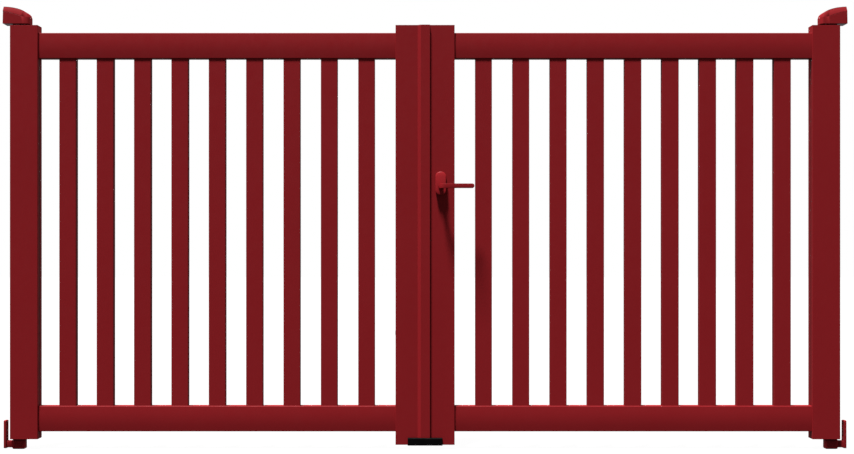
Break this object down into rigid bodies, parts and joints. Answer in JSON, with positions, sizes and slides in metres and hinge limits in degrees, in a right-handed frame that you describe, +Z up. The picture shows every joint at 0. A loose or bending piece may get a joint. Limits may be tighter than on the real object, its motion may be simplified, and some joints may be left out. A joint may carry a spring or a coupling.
{
  "type": "double-leaf driveway gate",
  "caption": "Double-leaf slatted driveway gate with pillar hinges, a cover strip over the meeting gap, a lever latch on one leaf and a drop bolt on the other.",
  "frame": {"origin": "middle of the opening, on the mid-plane of the closed leaves, at the foot of the bottom pivot blocks", "axes": "+X across the opening from the left leaf to the right leaf as seen from the street, -Y towards the street, +Z up"},
  "size_m": [3.045, 0.172, 1.597],
  "materials": {
    "powder_coat": "satin wine-red powder coat on aluminium with a fine orange-peel texture",
    "coated_handle": "satin wine-red powder coat on cast handle parts",
    "black_nylon": "moulded black nylon, fine grain",
    "stainless_steel": "brushed stainless steel",
    "screw_steel": "turned stainless screw steel",
    "galvanised_steel": "zinc-plated steel, slightly mottled"
  },
  "bodies": {
    "pillar_fixings": {"left_top_hinge_bracket": "galvanised_steel", "left_top_hinge_cover": "powder_coat", "left_bottom_hinge_bracket": "powder_coat", "left_bottom_pivot_block": "powder_coat", "right_top_hinge_bracket": "galvanised_steel", "right_top_hinge_cover": "powder_coat", "right_bottom_hinge_bracket": "powder_coat", "right_bottom_pivot_block": "powder_coat", "top_hinge_pins": "stainless_steel", "bottom_hinge_pins": "stainless_steel"},
    "left_leaf": {"left_hinge_stile": "powder_coat", "left_top_rail": "powder_coat", "left_bottom_rail": "powder_coat", "left_top_pivot_cap": "black_nylon", "left_bottom_pivot_cap": "black_nylon", "left_meeting_stile_caps": "black_nylon", "left_slat_1": "powder_coat", "left_slat_2": "powder_coat", "left_slat_3": "powder_coat", "left_slat_4": "powder_coat", "left_slat_5": "powder_coat", "left_slat_6": "powder_coat", "left_slat_7": "powder_coat", "left_slat_8": "powder_coat", "left_slat_9": "powder_coat", "left_meeting_stile": "powder_coat", "cover_strip": "powder_coat", "stop_block": "black_nylon", "strike_plate": "stainless_steel", "strike_screws": "screw_steel", "drop_bolt_guides": "galvanised_steel", "guide_screws": "screw_steel"},
    "right_leaf": {"right_hinge_stile": "powder_coat", "right_top_rail": "powder_coat", "right_bottom_rail": "powder_coat", "right_top_pivot_cap": "black_nylon", "right_bottom_pivot_cap": "black_nylon", "right_meeting_stile_caps": "black_nylon", "right_slat_1": "powder_coat", "right_slat_2": "powder_coat", "right_slat_3": "powder_coat", "right_slat_4": "powder_coat", "right_slat_5": "powder_coat", "right_slat_6": "powder_coat", "right_slat_7": "powder_coat", "right_slat_8": "powder_coat", "right_slat_9": "powder_coat", "right_meeting_stile": "powder_coat", "lock_case": "stainless_steel", "forend_screws": "screw_steel", "handle_plate_front": "coated_handle", "handle_plate_back": "coated_handle", "handle_screws": "screw_steel"},
    "handle": {"handle_lever_front": "coated_handle", "handle_lever_back": "coated_handle", "handle_spindle": "stainless_steel", "lock_follower": "stainless_steel"},
    "latch": {"latch_bolt": "stainless_steel"},
    "drop_bolt_rod": {"drop_bolt": "galvanised_steel"}
  },
  "joints": [
    {"name": "left_leaf_hinge", "type": "hinge", "parent": "pillar_fixings", "child": "left_leaf", "pos_m": [-1.469, 0, 0], "axis": [0, 0, 1], "range_deg": [0, 95]},
    {"name": "right_leaf_hinge", "type": "hinge", "parent": "pillar_fixings", "child": "right_leaf", "pos_m": [1.469, 0, 0], "axis": [0, 0, -1], "range_deg": [0, 95]},
    {"name": "handle_turn", "type": "hinge", "parent": "right_leaf", "child": "handle", "pos_m": [0.0565, 0, 0.9475], "axis": [0, 1, 0], "range_deg": [0, 45], "stiffness_Nm_per_rad": 1.2, "springref_deg": -22.92},
    {"name": "latch_slide", "type": "slide", "parent": "right_leaf", "child": "latch", "axis": [1, 0, 0], "range_m": [0, 0.0175]},
    {"name": "drop_bolt_slide", "type": "slide", "parent": "left_leaf", "child": "drop_bolt_rod", "axis": [0, 0, -1], "range_m": [0, 0.06]}
  ],
  "couplings": [
    {"joint": "latch_slide", "follows": "handle_turn", "m_per_rad": 0.022282}
  ]
}
